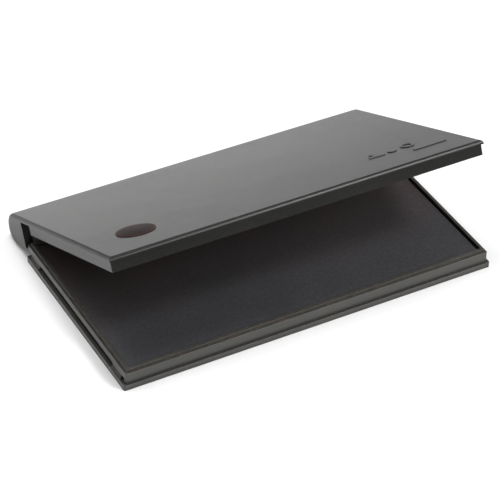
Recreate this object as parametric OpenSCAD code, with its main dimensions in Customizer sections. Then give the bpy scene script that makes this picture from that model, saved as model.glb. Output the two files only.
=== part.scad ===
// Ink pad with a hinged lid, shown part open. Millimetres.
// Origin: centre of the face that the base rests on. X runs along the hinge, +Y towards it, +Z up.

/* [Base] */
// Width of the bottom plate, along the hinge
base_w = 168; // [150:1:200]
// Depth of the bottom plate, front to back
base_d = 90.2; // [80:0.1:130]
// Thickness of the bottom plate's edge, the flange round the base
flange_t = 2.4; // [2.2:0.1:2.8]
// Height of the ledge that the closed lid rests on
ledge_z = 7.4; // [7.2:0.1:8]
// Height of the thin lip above the ledge
lip_h = 1.2; // [0.8:0.1:1.6]
// How far each wall stands inside the flange, and the lip inside the wall
step = 1.0; // [0.8:0.1:1.2]

/* [Pad] */
// Height of the cloth's top face
pad_z = 7.3; // [7:0.1:7.5]
// Thickness of the cloth
cloth_t = 0.3; // [0.2:0.05:0.4]
// Gap between the lip's inner face and the cloth
cloth_gap = 0.8; // [0.8:0.1:1]

/* [Lid] */
// How far the lid is open
open_angle = 25; // [0:1:100]
// Thickness of the lid's top
skin_t = 1.8; // [1.6:0.1:2]
// Rounding of the top's outer edge
skin_round = 1.4; // [0.6:0.1:1.5]
// How far the top stands out past the skirt
overhang = 0.7; // [0.4:0.1:0.9]
// Radius of the hinge barrel
barrel_r = 6.8; // [6.5:0.1:6.8]

/* [Hinge] */
// Distance from the bottom plate's rear edge back to the hinge axis
hinge_back = 13.1; // [13:0.1:14]
// Height of the hinge axis
hinge_z = 6.9; // [6.9:0.1:7.2]
// Radius of the stub pins
pin_r = 2.0; // [1.6:0.1:2.2]
// Radial play of the stub pins in their sockets
pin_play = 0.06; // [0.03:0.01:0.1]

/* [Marks] */
// Radius of the colour disc
disc_r = 8.0; // [6:0.1:10]
// Height of the raised mark
mark_h = 0.3; // [0.2:0.05:0.5]

/* [Hidden] */
$fn = 96;

// Rectangles in plan are [left, front, right, back]
flange = [-base_w / 2, -base_d / 2, base_w / 2, base_d / 2];
wall_side = base_w / 2 - step - 0.1;             // wall's outer face, left and right
wall = [-wall_side, flange[1] + step, wall_side, flange[3] + step];
lip = inset(wall, step);
lip_t = 1.1;                                     // lip's thickness
lip_z = ledge_z + lip_h;
lip_corner = 0.4;
opening = inset(lip, lip_t);                     // the space inside the lip
cloth = inset(opening, cloth_gap);
cloth_corner = 0.6;
flange_corner = 0.8;
merge = 0.2;                                     // overlap of shapes that make one piece

// Frame of the base
strip_z = 4.7;                                   // underside of the side strips
strip_t = 1.55;                                  // thickness of the strips
shoulder_z = 7.0;                                // underside of the lip's foot, on the tray's rim
wall_t = 1.8;                                    // lower front wall
wall_corner = 0.6;
block_front = [flange[1] + 4.5, flange[1] + 12.3];   // front blocks, front and rear ends
block_rear = [flange[3] - 10.7, flange[3] - 2.6];    // rear blocks, front and rear ends
block_round = 1.4;                               // round upright corners of the rear blocks
block_upright = 0.9;                             // upright part of a block's sloping side, at the top

// Tray and felts
fit = 0.05;                                      // play between parts that drop into each other
sump_side = base_w / 2 - 6;                      // sump's outer half width
sump = [-sump_side, flange[1] + 4.6, sump_side, flange[3] - 2.6];
sump_wall = 1.0;
tray_rim = inset(wall, strip_t + fit);
tray_wall = 1.0;
shelf_t = 0.8;
shelf_z = strip_z + shelf_t;
pocket_z = 1.5;                                  // floor of the bottom plate's pocket
sump_z = pocket_z + fit;
felt_z = sump_z + 0.9;                           // reservoir felt stands on the sump's floor

// Hinge
hinge_y = flange[3] + hinge_back;
cap_front = 10.2;                                // cap's flat face, in front of the axis
cap_corner = 1.2;                                // rounding of the cap's lower corner
cap_x = wall_side - 2.5;                         // cap's inner face
arm_gap = 0.2;
arm_t = 3.0;
arm_x = cap_x - arm_gap;                         // arm's outer face
arm_eye = 4.5;                                   // radius round the stub pin
arm_low = -2.2;                                  // arm's bar, below and above the axis
arm_high = 4.3;
arm_front = wall[3] - strip_t;                   // arms stand on the rear strip
pin_len = 1.6;                                   // stub's length beyond the arm
socket_deep = 1.6;
open_limit = 107;                                // opening from closed at which the arm meets the barrel
barrel_in = barrel_r - skin_t;
channel_t = 1.5;                                 // barrel's flat bottom
barrel_turn = 150;                               // how far the top follows the barrel's back

// Lid, closed: x, y as the base, z from the base's resting face
top_z = hinge_z + barrel_r;
skin_z = top_z - skin_t;
skirt_side = wall_side;
skirt_front = wall[1] - 0.05;
skin_side = skirt_side + overhang;
skin_front = skirt_front - overhang;
skirt_z = ledge_z + 0.05;
skirt_rear = hinge_y - 17.3;
skirt_thin = 0.9;                                // skirt beside the lip
skirt_t = 1.5;                                   // skirt above the lip
thin_z = lip_z + 0.6;
rib_t = 1.0;                                     // sealing rib
rib_z = 9.1;
rib = inset(opening, 1.2);
rib_rear = hinge_y - 15.6;

// Colour disc
disc_at = [22.8 - base_w / 2, 24.9 - base_d / 2];    // its place on the closed lid
disc_seat = 0.9;                                 // depth of its seat
disc_rise = 0.3;                                 // height of its rim above the lid
disc_dome = 0.4;                                 // crown above the rim

// Relief mark on the closed lid: a row of plain pictograms with a bar below it
mark_at = [base_w / 2 - 41, 21.8 - base_d / 2];
mark_tall = 6.2;
mark_pitch = 8.6;
bar_at = mark_at + [17, -6.9];
bar_size = [15, 1.6];

function inset(r, d) = [r[0] + d, r[1] + d, r[2] - d, r[3] - d];

// Block over a plan rectangle, from height low to height high, with round upright corners
module block(r, low, high, corner = 0) {
    size = [r[2] - r[0], r[3] - r[1]];
    translate([r[0], r[1], low])
        linear_extrude(high - low)
            if (corner > 0) {
                translate([corner, 0]) square([size.x - 2 * corner, size.y]);
                translate([0, corner]) square([size.x, size.y - 2 * corner]);
                for (x = [corner, size.x - corner], y = [corner, size.y - corner])
                    translate([x, y]) circle(corner);
            } else square(size);
}

module ring(outer, inner, low, high, corner = 0) {
    difference() {
        block(outer, low, high, corner);
        block(inner, low - 1, high + 1);
    }
}

// Side view, drawn as [forward-back, up] about the hinge axis, made solid from x0 to x1
module side_view(x0, x1) {
    translate([x0, hinge_y, hinge_z])
        rotate([90, 0, 90])
            linear_extrude(x1 - x0) children();
}

// The same thing at the left and the right end
module both_ends() {
    children();
    mirror([1, 0, 0]) children();
}

// Turns the closed lid to where it stands open
module opened() {
    translate([0, hinge_y, hinge_z])
        rotate([-open_angle, 0, 0])
            translate([0, -hinge_y, -hinge_z]) children();
}

// ---- Base ----

// Corner block at the right end, from y0 to y1: its side slopes up from the flange's edge to the strip
module corner_block(y0, y1, corner = 0) {
    in = sump_side + 2 * fit;
    out = flange[2];
    top = strip_z - fit;
    intersection() {
        block([in, y0, out, y1], flange_t - 1, top, corner);
        translate([0, y1, 0])
            rotate([90, 0, 0])
                linear_extrude(y1 - y0)
                    polygon([[in, flange_t - 1], [out, flange_t - 1], [out, flange_t],
                             [wall_side, top - block_upright], [wall_side, top], [in, top]]);
    }
}

module bottom_plate() {
    color([0.22, 0.22, 0.22]) {
        difference() {
            block(flange, 0, flange_t, flange_corner);
            block(inset(sump, -fit), pocket_z, flange_t + 1);
        }
        both_ends() {
            corner_block(block_front[0], block_front[1]);
            corner_block(block_rear[0], block_rear[1], block_round);
        }
    }
}

// Part of the base's lower wall over a plan rectangle, joined to the strip above it
module lower_wall(r, corner = 0) {
    block(r, flange_t, strip_z - fit, corner);
    intersection() {
        block(r, flange_t, strip_z + merge, corner);
        ring(wall, inset(wall, strip_t), flange_t, ledge_z);
    }
}

// One hinge arm at the right end, with its stub pin
module hinge_arm() {
    side_view(arm_x - arm_t, arm_x) {
        circle(arm_eye);
        translate([arm_front - hinge_y, arm_low]) square([hinge_y - arm_front, arm_high - arm_low]);
    }
    side_view(arm_x - merge, arm_x + pin_len) circle(pin_r);
}

module base_frame() {
    color([0.24, 0.24, 0.24]) {
        ring(wall, inset(wall, strip_t), strip_z, ledge_z, wall_corner);
        ring(lip, opening, shoulder_z, lip_z, lip_corner);
        ring(inset(tray_rim, -merge), opening, shoulder_z, ledge_z);
        lower_wall([wall[0], wall[1], wall[2], wall[1] + wall_t], wall_corner);
        lower_wall([-sump_side, sump[3] + 2 * fit, sump_side, flange[3]]);
        both_ends() hinge_arm();
    }
}

// ---- Pad ----

module pad_tray() {
    color([0.15, 0.15, 0.15])
        difference() {
            union() {
                block(sump, sump_z, shelf_z);
                block(tray_rim, strip_z, shoulder_z - fit);
            }
            block(inset(sump, sump_wall), felt_z, shelf_z + 1);
            block(inset(tray_rim, tray_wall), shelf_z, ledge_z);
        }
}

module reservoir_felt() {
    color([0.1, 0.1, 0.12])
        block(inset(sump, sump_wall + fit), felt_z, shelf_z);
}

module transfer_felt() {
    color([0.1, 0.1, 0.12])
        block(inset(cloth, cloth_t), shelf_z, pad_z - cloth_t);
}

module pad_cloth() {
    color([0.13, 0.13, 0.14])
        difference() {
            block(cloth, shelf_z, pad_z, cloth_corner);
            block(inset(cloth, cloth_t), shelf_z - 1, pad_z - cloth_t);
        }
}

// ---- Lid, drawn closed ----

// Upper half of a disc, which rounds an edge without reaching below its own centre
module half_disc(r) {
    intersection() {
        circle(r);
        translate([-r, 0]) square([2 * r, r]);
    }
}

// Cross-section of the lid's top, its width across and its thickness up, top edge rounded
module skin_section() {
    r = skin_round;
    translate([-skin_side, 0]) square([2 * skin_side, skin_t - r]);
    translate([-skin_side + r, 0]) square([2 * (skin_side - r), skin_t]);
    for (x = [-skin_side + r, skin_side - r])
        translate([x, skin_t - r]) half_disc(r);
}

// Flat top: the cross-section run front to back, cut by the rounded front edge
module skin_flat() {
    length = hinge_y - skin_front;
    intersection() {
        translate([0, hinge_y, skin_z])
            rotate([90, 0, 0]) linear_extrude(length) skin_section();
        side_view(-skin_side - 1, skin_side + 1) {
            r = skin_round;
            translate([-length, barrel_in]) square([length + 1, skin_t - r]);
            translate([-length + r, barrel_in]) square([length + 1 - r, skin_t]);
            translate([-length + r, barrel_r - r]) half_disc(r);
        }
    }
}

// Half-round back of the barrel: the same cross-section turned about the hinge axis
module skin_barrel() {
    translate([0, hinge_y, hinge_z])
        rotate([0, -90, 0])
            rotate_extrude(angle = barrel_turn)
                translate([barrel_in, 0]) rotate(90) mirror([0, 1]) skin_section();
}

// Cap's outline: half round behind the axis, flat underneath and in front
module cap_outline() {
    circle(barrel_r - 0.01);
    translate([-cap_front, cap_corner - barrel_r]) square([cap_front, 2 * barrel_r - cap_corner]);
    translate([cap_corner - cap_front, -barrel_r]) square([cap_front - cap_corner, barrel_r]);
    translate([cap_corner - cap_front, cap_corner - barrel_r]) circle(cap_corner);
}

// Half of the cap's cross-section, from its middle line out to its rounded outer edge
module cap_section() {
    r = skin_round;
    translate([cap_x, 0]) square([skin_side - cap_x - r, barrel_r]);
    translate([cap_x, 0]) square([skin_side - cap_x, barrel_r - r]);
    translate([skin_side - r, barrel_r - r]) circle(r);
}

// Cap at the right end, as smooth as the top that it closes, with a blind socket for the stub pin
module lid_cap() {
    difference() {
        union() {
            translate([0, hinge_y, hinge_z])
                rotate([0, -90, 0])
                    rotate_extrude(angle = 180) rotate(-90) cap_section();
            intersection() {
                translate([0, hinge_y, hinge_z])
                    rotate([90, 0, 0])
                        linear_extrude(cap_front + 1) {
                            cap_section();
                            mirror([0, 1]) cap_section();
                        }
                side_view(cap_x - 1, skin_side + 1) cap_outline();
            }
        }
        side_view(cap_x - 1, cap_x + socket_deep + fit) circle(pin_r + pin_play);
    }
}

// Flat bottom of the barrel, and the windows through which the arms reach the axis
module lid_channel() {
    side_view(-cap_x - merge, cap_x + merge)
        difference() {
            cap_outline();
            circle(barrel_in);
            translate([-cap_front - 1, channel_t - barrel_r])
                square([cap_front + 1, 3 * barrel_r]);
            translate([-1, -barrel_in / 2]) square([2 * barrel_r, 2 * barrel_r]);
        }
}

module arm_windows() {
    reach = 2 * barrel_r;
    both_ends()
        side_view(arm_x - arm_t - 2 * arm_gap, cap_x)
            difference() {
                translate([-reach, -reach]) square([2 * reach, reach + 0.5]);
                rotate(open_limit - 90)
                    translate([-arm_low, -3 * reach]) square([4 * reach, 6 * reach]);
            }
}

// Skirt: thick under the top, thinner where it passes outside the base's lip
module skirt() {
    outer = [-skirt_side, skirt_front, skirt_side, skirt_rear];
    difference() {
        block(outer, skirt_z, skin_z + merge, wall_corner);
        block([outer[0] + skirt_thin, outer[1] + skirt_thin, outer[2] - skirt_thin, outer[3] + 1],
              skirt_z - 1, thin_z);
        block([outer[0] + skirt_t, outer[1] + skirt_t, outer[2] - skirt_t, outer[3] + 1],
              thin_z - 0.5, skin_z);
    }
}

module sealing_rib() {
    outer = [rib[0], rib[1], rib[2], rib_rear];
    ring(outer, inset(outer, rib_t), rib_z, skin_z + merge);
}

// Hand stamp seen from the side: plate, neck and round knob
module stamp_sign() {
    knob = 1.5;
    square([mark_tall + 0.8, 1.6]);
    translate([(mark_tall + 0.8) / 2 - 0.7, 1.5]) square([1.4, 2.2]);
    translate([(mark_tall + 0.8) / 2, mark_tall - knob]) circle(knob);
}

// Drop of ink: a round belly under a point
module drop_sign() {
    belly = 2.1;
    touch = 30;
    translate([belly, belly]) {
        circle(belly);
        polygon([[-belly * cos(touch), belly * sin(touch)], [0, mark_tall - belly],
                 [belly * cos(touch), belly * sin(touch)]]);
    }
}

// Round print
module print_sign() {
    r = mark_tall / 2;
    translate([r, r])
        difference() {
            circle(r);
            circle(r - 1.2);
        }
}

module relief_mark() {
    translate([0, 0, top_z - merge])
        linear_extrude(mark_h + merge) {
            translate(mark_at) {
                stamp_sign();
                translate([mark_pitch + 0.6, 0]) drop_sign();
                translate([2 * mark_pitch - 1.2, 0]) print_sign();
            }
            translate(bar_at) square(bar_size);
        }
}

module lid_shell() {
    color([0.42, 0.42, 0.42])
        opened() {
            difference() {
                union() {
                    skin_flat();
                    skin_barrel();
                    lid_channel();
                }
                arm_windows();
                translate([disc_at.x, disc_at.y, top_z - disc_seat]) cylinder(h = 2, r = disc_r + fit);
            }
            both_ends() lid_cap();
            skirt();
            sealing_rib();
            relief_mark();
        }
}

// Shallow domed plug in its round seat
module colour_disc() {
    crown = disc_seat + disc_rise + disc_dome;
    ball = (disc_r * disc_r + disc_dome * disc_dome) / (2 * disc_dome);
    color([0.2, 0.16, 0.15])
        opened()
            translate([disc_at.x, disc_at.y, top_z - disc_seat])
                rotate_extrude()
                    intersection() {
                        square([disc_r, crown]);
                        translate([0, crown - ball]) circle(ball, $fn = 720);
                    }
}

bottom_plate();
base_frame();
pad_tray();
reservoir_felt();
transfer_felt();
pad_cloth();
lid_shell();
colour_disc();
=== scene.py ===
"""Ink pad with a hinged lid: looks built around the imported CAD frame. Metres, +Z up, hinge along X."""

import math

import bmesh
import bpy
from mathutils import Matrix, Vector, noise


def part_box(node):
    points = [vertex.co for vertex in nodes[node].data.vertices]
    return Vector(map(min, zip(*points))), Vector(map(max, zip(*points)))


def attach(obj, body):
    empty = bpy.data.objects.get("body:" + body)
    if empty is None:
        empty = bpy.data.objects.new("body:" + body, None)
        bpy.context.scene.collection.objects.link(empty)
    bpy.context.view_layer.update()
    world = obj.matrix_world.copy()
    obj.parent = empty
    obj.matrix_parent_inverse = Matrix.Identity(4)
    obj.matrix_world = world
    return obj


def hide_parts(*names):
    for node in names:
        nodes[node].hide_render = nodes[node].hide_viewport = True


MM = 0.001
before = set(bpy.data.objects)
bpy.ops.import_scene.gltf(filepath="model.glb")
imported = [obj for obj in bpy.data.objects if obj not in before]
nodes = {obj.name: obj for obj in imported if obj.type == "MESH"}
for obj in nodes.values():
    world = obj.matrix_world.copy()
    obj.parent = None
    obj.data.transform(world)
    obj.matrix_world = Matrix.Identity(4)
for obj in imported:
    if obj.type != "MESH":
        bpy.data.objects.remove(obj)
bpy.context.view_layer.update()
scene = bpy.context.scene


# ---- Shader building ----


class Shader:
    """A material under construction, with one method for each kind of node used here."""

    def __init__(self, name):
        self.material = bpy.data.materials.new(name)
        self.material.use_nodes = True
        self.tree = self.material.node_tree
        self.bsdf = self.tree.nodes["Principled BSDF"]
        self.place = self.add("ShaderNodeTexCoord").outputs["Object"]

    def add(self, kind, **settings):
        made = self.tree.nodes.new(kind)
        for key, value in settings.items():
            setattr(made, key, value)
        return made

    def link(self, source, target):
        self.tree.links.new(source, target)

    def fixed(self, **values):
        for key, value in values.items():
            self.bsdf.inputs[key.replace("_", " ")].default_value = value

    def noise(self, per_mm, detail=3.0, roughness=0.55):
        made = self.add("ShaderNodeTexNoise")
        made.inputs["Scale"].default_value = per_mm / MM
        made.inputs["Detail"].default_value = detail
        made.inputs["Roughness"].default_value = roughness
        self.link(self.place, made.inputs["Vector"])
        return made.outputs["Fac"]

    def span(self, value, low, high, start=0.0, end=1.0):
        made = self.add("ShaderNodeMapRange")
        made.inputs["From Min"].default_value = start
        made.inputs["From Max"].default_value = end
        made.inputs["To Min"].default_value = low
        made.inputs["To Max"].default_value = high
        self.link(value, made.inputs["Value"])
        return made.outputs["Result"]

    def colours(self, value, first, second, low=0.0, high=1.0):
        ramp = self.add("ShaderNodeValToRGB")
        stops = ramp.color_ramp.elements
        stops[0].position, stops[0].color = low, (*first, 1)
        stops[1].position, stops[1].color = high, (*second, 1)
        self.link(value, ramp.inputs["Fac"])
        return ramp.outputs["Color"]

    def maths(self, operation, a, b):
        made = self.add("ShaderNodeMath", operation=operation)
        for socket, value in zip(made.inputs, (a, b)):
            if isinstance(value, (int, float)):
                socket.default_value = value
            else:
                self.link(value, socket)
        return made.outputs[0]

    def mixed(self, share, first, second):
        """A colour between two colours, each a tuple or a socket, by a share from 0 to 1."""
        mix = self.add("ShaderNodeMix", data_type="RGBA")
        sockets = [i for i in mix.inputs if i.type == "RGBA"]
        for socket, value in zip(sockets, (first, second)):
            if isinstance(value, tuple):
                socket.default_value = (*value, 1)
            else:
                self.link(value, socket)
        self.link(share, mix.inputs[0])
        return next(o for o in mix.outputs if o.type == "RGBA")

    def bump(self, height, depth_mm, under=None):
        made = self.add("ShaderNodeBump")
        made.inputs["Distance"].default_value = depth_mm * MM
        self.link(height, made.inputs["Height"])
        if under is not None:
            self.link(under, made.inputs["Normal"])
        return made.outputs["Normal"]

    def edges(self, radius_mm):
        """0 on open faces, rising to 1 along corners and edges."""
        rounded = self.add("ShaderNodeBevel", samples=4)
        rounded.inputs["Radius"].default_value = radius_mm * MM
        true = self.add("ShaderNodeNewGeometry")
        dot = self.add("ShaderNodeVectorMath", operation="DOT_PRODUCT")
        self.link(rounded.outputs["Normal"], dot.inputs[0])
        self.link(true.outputs["Normal"], dot.inputs[1])
        return self.span(dot.outputs["Value"], 1, 0, 0.8, 0.99)

    def crevices(self, reach_mm):
        """Painted shade mask from ambient occlusion: 0 on open faces, rising towards 1 deep in corners and
        grooves narrower than the reach.
        """
        shade = self.add("ShaderNodeAmbientOcclusion", samples=8)
        shade.inputs["Distance"].default_value = reach_mm * MM
        return self.span(shade.outputs["AO"], 1, 0, 0.4, 0.95)

    def specks(self, per_mm, size):
        """1 inside sparse round specks, 0 elsewhere."""
        cells = self.add("ShaderNodeTexVoronoi", feature="F1")
        cells.inputs["Scale"].default_value = per_mm / MM
        self.link(self.place, cells.inputs["Vector"])
        near = self.span(cells.outputs["Distance"], 1, 0, size * 0.6, size)
        chance = self.add("ShaderNodeSeparateColor")
        self.link(cells.outputs["Color"], chance.inputs[0])
        return self.maths("MULTIPLY", near, self.span(chance.outputs[0], 0, 1, 0.86, 0.9))


# ---- Camera and studio ----

SHEET_HALF = 6.0
SHEET_RISE = 0.35
SHEET_DROP = 0.02 * MM  # keeps the sheet clear of the face that rests on it
GLOW_NEAR, GLOW_FAR = 0.1, 0.65
GLOW_START, GLOW_END = 0.65, 1.5  # distances from the origin between which the glow grows
CAMERA_TARGET = Vector((1.15, 9.56, 0)) * MM
CAMERA_AZIMUTH = math.radians(-29.73)
CAMERA_ELEVATION = math.radians(38.56)
CAMERA_ROLL = math.radians(1.66)
CAMERA_DISTANCE = 980.8 * MM
CAMERA_SENSOR = 36  # width in mm
CAMERA_LENS = 170.14  # focal length in mm


def make_camera():
    data = bpy.data.cameras.new("camera")
    data.sensor_width, data.lens = CAMERA_SENSOR, CAMERA_LENS
    data.clip_start, data.clip_end = 0.05, 50
    camera = bpy.data.objects.new("camera", data)
    scene.collection.objects.link(camera)
    back = Vector((
        math.sin(CAMERA_AZIMUTH) * math.cos(CAMERA_ELEVATION),
        -math.cos(CAMERA_AZIMUTH) * math.cos(CAMERA_ELEVATION),
        math.sin(CAMERA_ELEVATION),
    ))
    camera.location = CAMERA_TARGET + back * CAMERA_DISTANCE
    turn = (-back).to_track_quat("-Z", "Y").to_matrix() @ Matrix.Rotation(CAMERA_ROLL, 3, "Z")
    camera.rotation_mode = "QUATERNION"
    camera.rotation_quaternion = turn.to_quaternion()
    scene.camera = camera


def hang(data, place):
    """Puts a light in the scene at a place, pointing straight down."""
    light = bpy.data.objects.new(data.name, data)
    scene.collection.objects.link(light)
    light.location = place
    return light


def make_area(name, place, aim, size, brightness):
    """A soft panel: its brightness is that of its face, so size and brightness change separately."""
    data = bpy.data.lights.new(name, "AREA")
    data.shape, data.size, data.size_y = "RECTANGLE", *size
    data.energy = math.pi * size[0] * size[1] * brightness
    light = hang(data, place)
    light.rotation_mode = "QUATERNION"
    light.rotation_quaternion = (Vector(aim) - Vector(place)).to_track_quat("-Z", "Y")


def make_pool(name, place, radius, blend, softness, brightness):
    """A round pool of light on the sheet, from a lamp hung straight above it."""
    data = bpy.data.lights.new(name, "SPOT")
    data.spot_size, data.spot_blend = 2 * math.atan(radius / place[2]), blend
    data.shadow_soft_size = softness
    data.energy = 4 * math.pi ** 2 * place[2] ** 2 * brightness
    hang(data, place)


def make_world(brightness):
    world = bpy.data.worlds.new("studio")
    scene.world = world
    world.use_nodes = True
    background = world.node_tree.nodes["Background"]
    background.inputs["Color"].default_value = (1, 1, 1, 1)
    background.inputs["Strength"].default_value = brightness


def make_sheet():
    """A white sheet lit a little from below, more so far out, and turned up into a low wall all round."""
    mesh = bpy.data.meshes.new("sheet")
    corners = [(-1, -1), (1, -1), (1, 1), (-1, 1)]
    mesh.from_pydata(
        [(x * SHEET_HALF, y * SHEET_HALF, z) for z in (-SHEET_DROP, SHEET_RISE) for x, y in corners],
        [],
        [(0, 1, 2, 3)] + [(k, (k + 1) % 4, (k + 1) % 4 + 4, k + 4) for k in range(4)],
    )
    sheet = bpy.data.objects.new("sheet", mesh)
    scene.collection.objects.link(sheet)
    white = Shader("sheet_white")
    white.fixed(Base_Color=(0.74, 0.74, 0.74, 1), Roughness=0.9, Specular_IOR_Level=0.1)
    white.fixed(Emission_Color=(1, 1, 1, 1))
    away = white.add("ShaderNodeVectorMath", operation="LENGTH")
    white.link(white.place, away.inputs[0])
    glow = white.span(away.outputs["Value"], GLOW_NEAR, GLOW_FAR, GLOW_START, GLOW_END)
    white.link(glow, white.bsdf.inputs["Emission Strength"])
    mesh.materials.append(white.material)


make_camera()
make_world(brightness=0.08)
make_sheet()
make_area("rear_panel", place=(-0.5, 1.3, 1.3), aim=(0, 0, 0), size=(2, 1), brightness=2.3)
make_area("front_box", place=(0.38, -0.62, 0.48), aim=(0.03, -0.03, 0.02), size=(0.45, 0.4), brightness=7.6)
make_area("edge_box", place=(0.33, -0.3, 0.6), aim=(0.05, -0.03, 0.03), size=(0.2, 0.14), brightness=26)
make_area("top_panel", place=(0.48, 0.28, 1.05), aim=(0.05, 0, 0), size=(0.6, 0.5), brightness=1.8)
make_area("side_strip", place=(0.6, 0.05, 0.2), aim=(0.03, -0.03, 0), size=(0.3, 0.2), brightness=3)
make_pool("overhead", place=(-0.06, 0.13, 0.6), radius=0.38, blend=0.9, softness=0.12, brightness=0.7)
make_pool("floor_pool", place=(0.06, 0.24, 1.5), radius=0.13, blend=0.8, softness=0.05, brightness=0.22)
make_pool("left_pool", place=(-0.25, 0.02, 0.8), radius=0.3, blend=0.9, softness=0.1, brightness=0.3)
scene.view_settings.view_transform = "Standard"


# ---- Materials ----

DUST = (0.16, 0.155, 0.145)
# Painted shade: the near-black colour that grooves and corners are darkened towards.
CREVICE_SHADE_COLOUR = (0.004, 0.0038, 0.0038)
# Reach of the edge mark, which is partly real wear and partly a painted highlight.
WEAR_AND_HIGHLIGHT_REACH_MM = 0.3
GROOVE_REACH_MM = 1.6
WARM_START, WARM_END = -28 * MM, 38 * MM  # front to rear, where the cloth turns from cool to warm


def moulded_plastic(name, tones, bare_and_highlight, roughness, wear_and_highlight, shine, grain_mm=0.006, ripple_mm=0.008, crevice_shade=0.0):
    """Dark moulded plastic with flow clouds, smears and dust.

    Its edges turn towards the bare colour, partly real wear and partly a painted highlight, and its grooves
    darken and dull by a set share, a painted shade from ambient occlusion.
    """
    s = Shader(name)
    cloud = s.noise(0.022, detail=3)
    smear = s.noise(0.05, detail=4, roughness=0.5)
    grain = s.noise(4.5, detail=2, roughness=0.6)
    ripple = s.noise(0.06, detail=1)
    # Edge mark: partly real wear, partly a painted highlight where rounded edges catch the light.
    worn_and_highlit = s.maths("MULTIPLY", s.edges(WEAR_AND_HIGHLIGHT_REACH_MM), s.span(s.noise(0.5, detail=4), 0.2, 1, 0.35, 0.65))
    plain = s.colours(cloud, *tones, 0.32, 0.68)
    # Painted shade: ambient occlusion darkens grooves and corners towards near-black and makes them rougher.
    shade_share = s.maths("MULTIPLY", s.crevices(GROOVE_REACH_MM), crevice_shade)
    shaded_tone = s.mixed(shade_share, plain, CREVICE_SHADE_COLOUR)
    rubbed_and_highlit = s.mixed(s.maths("MULTIPLY", worn_and_highlit, wear_and_highlight), shaded_tone, bare_and_highlight)
    dusty = s.maths("MULTIPLY", s.specks(0.45, 0.045), 0.35)
    s.link(s.mixed(dusty, rubbed_and_highlit, DUST), s.bsdf.inputs["Base Color"])
    smeared = s.span(smear, roughness - 0.012, roughness + 0.016, 0.3, 0.7)
    dulled = s.maths("ADD", smeared, s.maths("MULTIPLY", shade_share, 0.5))
    s.link(s.maths("ADD", dulled, s.span(grain, -0.03, 0.03, 0.3, 0.7)), s.bsdf.inputs["Roughness"])
    s.link(s.bump(grain, grain_mm, s.bump(ripple, ripple_mm)), s.bsdf.inputs["Normal"])
    s.fixed(Specular_IOR_Level=shine)
    return s.material


def printed_disc(name, centre, radius):
    """Dark brown lacquered disc: drifting pigment, a paler reddish rim, fine orange peel and a painted sheen,
    lighter and browner towards the rear.
    """
    s = Shader(name)
    drift = s.noise(0.16, detail=4, roughness=0.6)
    away = s.add("ShaderNodeVectorMath", operation="DISTANCE")
    s.link(s.place, away.inputs[0])
    away.inputs[1].default_value = centre
    rim = s.span(away.outputs["Value"], 0, 1, radius * 0.84, radius * 0.99)
    split = s.add("ShaderNodeSeparateXYZ")
    s.link(s.place, split.inputs[0])
    rear = s.span(split.outputs["Y"], 0, 1, centre.y - radius, centre.y + radius)
    # Painted sheen: darker at the front, lighter and browner towards the rear.
    painted_sheen_tone = s.mixed(rear, (0.012, 0.0105, 0.0115), (0.021, 0.014, 0.012))
    body = s.mixed(s.span(drift, 0, 0.35, 0.35, 0.65), painted_sheen_tone, (0.032, 0.021, 0.018))
    s.link(s.mixed(s.maths("MULTIPLY", rim, 0.7), body, (0.056, 0.027, 0.021)), s.bsdf.inputs["Base Color"])
    s.link(s.span(s.noise(1.2, detail=3), 0.30, 0.42, 0.3, 0.7), s.bsdf.inputs["Roughness"])
    s.link(s.bump(s.noise(0.9, detail=2), 0.004), s.bsdf.inputs["Normal"])
    s.fixed(Specular_IOR_Level=0.012)
    return s.material


def woven_cloth(name, pitch_mm):
    """Fine plain weave soaked with dark ink: threads over and under, uneven soaking, warmer to the rear."""
    s = Shader(name)
    split = s.add("ShaderNodeSeparateXYZ")
    s.link(s.place, split.inputs[0])
    sway = s.span(s.noise(0.12, detail=2), -0.25 * pitch_mm * MM, 0.25 * pitch_mm * MM)
    turn = math.pi / (pitch_mm * MM)
    waves = [
        s.maths("COSINE", s.maths("MULTIPLY", s.maths("ADD", split.outputs[axis], sway), turn), 0)
        for axis in (0, 1)
    ]
    parity = s.maths("MULTIPLY", waves[0], waves[1])
    over = [s.span(parity, *ends, -1, 1) for ends in ((0.45, 1), (1, 0.45))]
    threads = [s.maths("MULTIPLY", s.maths("ABSOLUTE", wave, 0), rise) for wave, rise in zip(waves, over)]
    weave = s.maths("MAXIMUM", *threads)
    fuzz = s.noise(5, detail=3, roughness=0.7)
    soak = s.noise(0.045, detail=4, roughness=0.55)
    rear = s.span(split.outputs["Y"], 0, 1, WARM_START, WARM_END)
    cool = s.colours(soak, (0.043, 0.044, 0.049), (0.053, 0.054, 0.060), 0.3, 0.7)
    warm = s.colours(soak, (0.055, 0.033, 0.029), (0.065, 0.040, 0.036), 0.3, 0.7)
    inked = s.mixed(s.maths("ADD", rear, s.span(soak, -0.15, 0.15, 0.3, 0.7)), cool, warm)
    blotched = s.span(s.noise(0.7, detail=3, roughness=0.75), 0, 0.45, 0.4, 0.6)
    inked = s.mixed(blotched, inked, (0.024, 0.023, 0.025))
    sunk = s.span(weave, 0.55, 0, 0.1, 0.75)
    s.link(s.mixed(sunk, inked, (0.014, 0.014, 0.015)), s.bsdf.inputs["Base Color"])
    s.link(s.span(fuzz, 0.62, 0.85, 0.3, 0.7), s.bsdf.inputs["Roughness"])
    s.link(s.bump(weave, 0.05, s.bump(fuzz, 0.02)), s.bsdf.inputs["Normal"])
    s.fixed(Specular_IOR_Level=0.3, Sheen_Weight=0.08, Sheen_Roughness=0.4)
    return s.material


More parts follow.
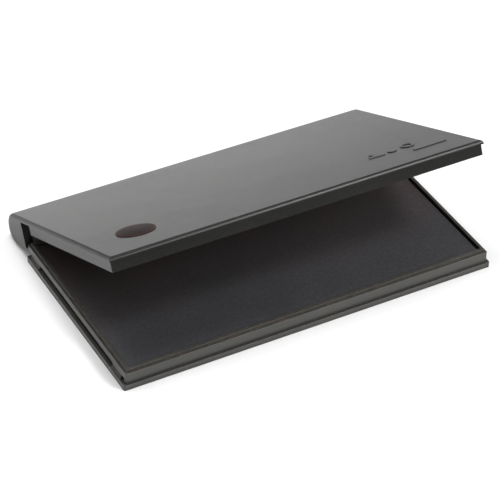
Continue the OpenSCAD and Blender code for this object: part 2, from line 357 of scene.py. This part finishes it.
def inked_felt(name):
    """Dense wool felt soaked with ink: matted fibres and a mottled depth."""
    s = Shader(name)
    fibres = s.noise(2.2, detail=6, roughness=0.75)
    matting = s.noise(0.3, detail=3)
    tone = s.colours(matting, (0.014, 0.014, 0.018), (0.030, 0.030, 0.035), 0.3, 0.7)
    s.link(tone, s.bsdf.inputs["Base Color"])
    s.link(s.span(fibres, 0.8, 1.0), s.bsdf.inputs["Roughness"])
    s.link(s.bump(fibres, 0.18, s.bump(matting, 0.15)), s.bsdf.inputs["Normal"])
    s.fixed(Specular_IOR_Level=0.25, Sheen_Weight=0.25, Sheen_Roughness=0.5)
    return s.material


lid_plastic = moulded_plastic(
    "lid_plastic",
    tones=((0.0105, 0.0104, 0.0096), (0.0135, 0.0134, 0.0124)),
    bare_and_highlight=(0.060, 0.055, 0.048),
    roughness=0.26,
    wear_and_highlight=0.5,
    shine=0.26,
    grain_mm=0.0025,
    ripple_mm=0.002,
)
base_plastic = moulded_plastic(
    "base_plastic",
    tones=((0.033, 0.0323, 0.0282), (0.041, 0.0403, 0.0358)),
    # warm pale edge colour: partly wear, partly a painted highlight along the lip and flange
    bare_and_highlight=(0.30, 0.235, 0.185),
    roughness=0.32,
    wear_and_highlight=1.0,
    shine=0.66,
    # full share of painted shade in the grooves and corners
    crevice_shade=1.0,
)
tray_plastic = moulded_plastic(
    "tray_plastic",
    tones=((0.013, 0.012, 0.012), (0.019, 0.0178, 0.0175)),
    bare_and_highlight=(0.050, 0.045, 0.040),
    roughness=0.42,
    wear_and_highlight=0.2,
    shine=0.3,
)
disc_low, disc_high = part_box("colour_disc")
disc_plastic = printed_disc("disc_plastic", (disc_low + disc_high) / 2, (disc_high.x - disc_low.x) / 2)
cloth_inked = woven_cloth("ink_cloth", pitch_mm=0.42)
felt_inked = inked_felt("ink_felt")


def dress(node, material, round_mm):
    """Gives a CAD node its material, and softens its sharp edges as a moulding tool leaves them."""
    obj = nodes[node]
    obj.data.materials.clear()
    obj.data.materials.append(material)
    for polygon in obj.data.polygons:
        polygon.material_index = 0
    weld = obj.modifiers.new("weld", "WELD")
    weld.merge_threshold = 0.002 * MM
    planar = obj.modifiers.new("planar", "DECIMATE")
    planar.decimate_type = "DISSOLVE"
    planar.angle_limit = math.radians(0.3)
    bevel = obj.modifiers.new("edges", "BEVEL")
    bevel.width = round_mm * MM
    bevel.segments = 3
    bevel.limit_method = "ANGLE"
    bevel.angle_limit = math.radians(28)
    bevel.miter_outer = "MITER_ARC"
    bevel.harden_normals = True
    obj.data.shade_smooth()
    normals = obj.modifiers.new("normals", "WEIGHTED_NORMAL")
    normals.keep_sharp = True


dress("bottom_plate", base_plastic, round_mm=0.2)
dress("base_frame", base_plastic, round_mm=0.3)
dress("pad_tray", tray_plastic, round_mm=0.1)
dress("lid_shell", lid_plastic, round_mm=0.12)
dress("colour_disc", disc_plastic, round_mm=0.1)


# ---- The pad: two felts under a stretched cloth ----

LUMP_SIZE_MM = 9
FELT_STEP = 4 * MM  # mesh size in the middle of a felt
CLOTH_THICK = 0.24 * MM
CLOTH_SKIRT = 1.5 * MM  # how far its edge is turned down past the felt
CLOTH_STEP = 2.5 * MM  # mesh size in the middle of the cloth
SIM_SCALE = 20  # cloth behaves better large
SIM_FRAMES, QUICK_FRAMES = 24, 4


def new_piece(name, mesh, material, body, slot, *replaced):
    """Puts a finished mesh in the scene as a piece that rides on a body and stands for CAD nodes."""
    obj = bpy.data.objects.new(name, mesh)
    scene.collection.objects.link(obj)
    mesh.materials.append(material)
    mesh.shade_smooth()
    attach(obj, body)
    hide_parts(*replaced)
    return obj


def uneven(x, y, size_mm, seed):
    """Smooth unevenness from -1 to 1 whose lumps are about size_mm across."""
    return noise.noise(Vector((x / (size_mm * MM), y / (size_mm * MM), seed)))


def graded(half, edge, step, fine):
    """Positions from -half to half: close together within edge of both ends, and about step apart between."""
    near = [half - fine * k for k in range(int(edge / fine) + 1)]
    inner = near[-1]
    count = max(2, round(2 * inner / step))
    middle = [-inner + 2 * inner * k / count for k in range(1, count)]
    return [-v for v in near] + middle + near[::-1]


def felt_slab(name, node, round_mm, lumps_mm, seed):
    """A die-cut slab of felt with softened edges and slightly lumpy faces."""
    low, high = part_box(node)
    centre, half = (low + high) / 2, (high - low) / 2
    soft = round_mm * MM
    xs = graded(half.x, 2 * soft, FELT_STEP, soft / 3)
    ys = graded(half.y, 2 * soft, FELT_STEP, soft / 3)
    bm = bmesh.new()

    def sunk(x, y):
        """How far a point of the face lies below its crown, from the rounding of the edges."""
        depth = 0
        for along, limit in ((x, half.x), (y, half.y)):
            past = max(0, abs(along) - (limit - soft)) / soft
            depth = max(depth, soft * (1 - math.sqrt(max(0, 1 - past * past))))
        return depth

    verts = {}
    for side in (1, -1):
        for i, x in enumerate(xs):
            for j, y in enumerate(ys):
                lump = lumps_mm * MM * (uneven(x, y, LUMP_SIZE_MM, seed + side) - 1) / 2
                z = side * (half.z - sunk(x, y) + lump)
                verts[side, i, j] = bm.verts.new(centre + Vector((x, y, z)))
    last_i, last_j = len(xs) - 1, len(ys) - 1
    for side in (1, -1):
        for i in range(last_i):
            for j in range(last_j):
                ring = [verts[side, i + a, j + b] for a, b in ((0, 0), (1, 0), (1, 1), (0, 1))]
                bm.faces.new(ring if side > 0 else ring[::-1])
    rim = [(i, 0) for i in range(last_i)] + [(last_i, j) for j in range(last_j)]
    rim += [(i, last_j) for i in range(last_i, 0, -1)] + [(0, j) for j in range(last_j, 0, -1)]
    for a, b in zip(rim, rim[1:] + rim[:1]):
        bm.faces.new([verts[-1, *a], verts[-1, *b], verts[1, *b], verts[1, *a]])
    mesh = bpy.data.meshes.new(name)
    bm.to_mesh(mesh)
    bm.free()
    piece = new_piece(name, mesh, felt_inked, "base", "ink_felt", node)
    return piece


def woven_cover(felt):
    """The cloth: cut flat, laid over the felt, turned down all round and pulled tight by simulation."""
    low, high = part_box("pad_cloth")
    centre, half = (low + high) / 2, (high - low) / 2
    side = Vector((half.x - CLOTH_THICK / 2, half.y - CLOTH_THICK / 2))
    top = high.z - CLOTH_THICK / 2
    us = graded(side.x + CLOTH_SKIRT, 3 * CLOTH_SKIRT, CLOTH_STEP, CLOTH_SKIRT / 4)
    vs = graded(side.y + CLOTH_SKIRT, 3 * CLOTH_SKIRT, CLOTH_STEP, CLOTH_SKIRT / 4)
    bm = bmesh.new()
    grid = {}
    for i, u in enumerate(us):
        for j, v in enumerate(vs):
            down = max(0, abs(u) - side.x, abs(v) - side.y)
            x = math.copysign(min(abs(u), side.x), u)
            y = math.copysign(min(abs(v), side.y), v)
            grid[i, j] = bm.verts.new((centre.x + x, centre.y + y, top - down))
    for i in range(len(us) - 1):
        for j in range(len(vs) - 1):
            bm.faces.new([grid[i, j], grid[i + 1, j], grid[i + 1, j + 1], grid[i, j + 1]])
    mesh = bpy.data.meshes.new("pad_cloth_woven")
    bm.to_mesh(mesh)
    bm.free()
    mesh.transform(Matrix.Scale(SIM_SCALE, 4))
    cloth = bpy.data.objects.new("pad_cloth_woven", mesh)
    scene.collection.objects.link(cloth)
    pinned = cloth.vertex_groups.new(name="hem")
    ends = (0, len(us) - 1), (0, len(vs) - 1)
    pinned.add([k for k, (i, j) in enumerate(grid) if i in ends[0] or j in ends[1]], 1, "ADD")

    block = bpy.data.objects.new("collider", felt.data.copy())
    scene.collection.objects.link(block)
    block.data.transform(Matrix.Scale(SIM_SCALE, 4))
    hard = block.modifiers.new("collision", "COLLISION")
    hard.settings.thickness_outer = CLOTH_THICK / 2 * SIM_SCALE
    hard.settings.cloth_friction = 5

    sim = cloth.modifiers.new("cloth", "CLOTH")
    sim.settings.quality = 6
    sim.settings.mass = 0.2
    sim.settings.tension_stiffness = sim.settings.compression_stiffness = 30
    sim.settings.shear_stiffness = 10
    sim.settings.bending_stiffness = 0.6
    sim.settings.vertex_group_mass = "hem"
    sim.settings.shrink_min = 0.004
    sim.collision_settings.distance_min = 0.002
    sim.collision_settings.use_self_collision = False
    last = SIM_FRAMES
    sim.point_cache.frame_start, sim.point_cache.frame_end = 1, last
    for step in range(1, last + 1):
        scene.frame_set(step)
    settled = bpy.data.meshes.new_from_object(cloth.evaluated_get(bpy.context.evaluated_depsgraph_get()))
    scene.frame_set(1)
    for spent in (cloth, block):
        bpy.data.objects.remove(spent)
    settled.name = "pad_cloth_woven"
    settled.transform(Matrix.Scale(1 / SIM_SCALE, 4))
    piece = new_piece("pad_cloth_woven", settled, cloth_inked, "base", "ink_cloth", "pad_cloth")
    thick = piece.modifiers.new("thickness", "SOLIDIFY")
    thick.thickness, thick.offset = CLOTH_THICK, 0
    finer = piece.modifiers.new("finer", "SUBSURF")
    finer.levels = finer.render_levels = 1


felt_slab("reservoir_felt_slab", "reservoir_felt", round_mm=0.5, lumps_mm=0.1, seed=3)
upper_felt = felt_slab("transfer_felt_slab", "transfer_felt", round_mm=0.4, lumps_mm=0.12, seed=7)
woven_cover(upper_felt)
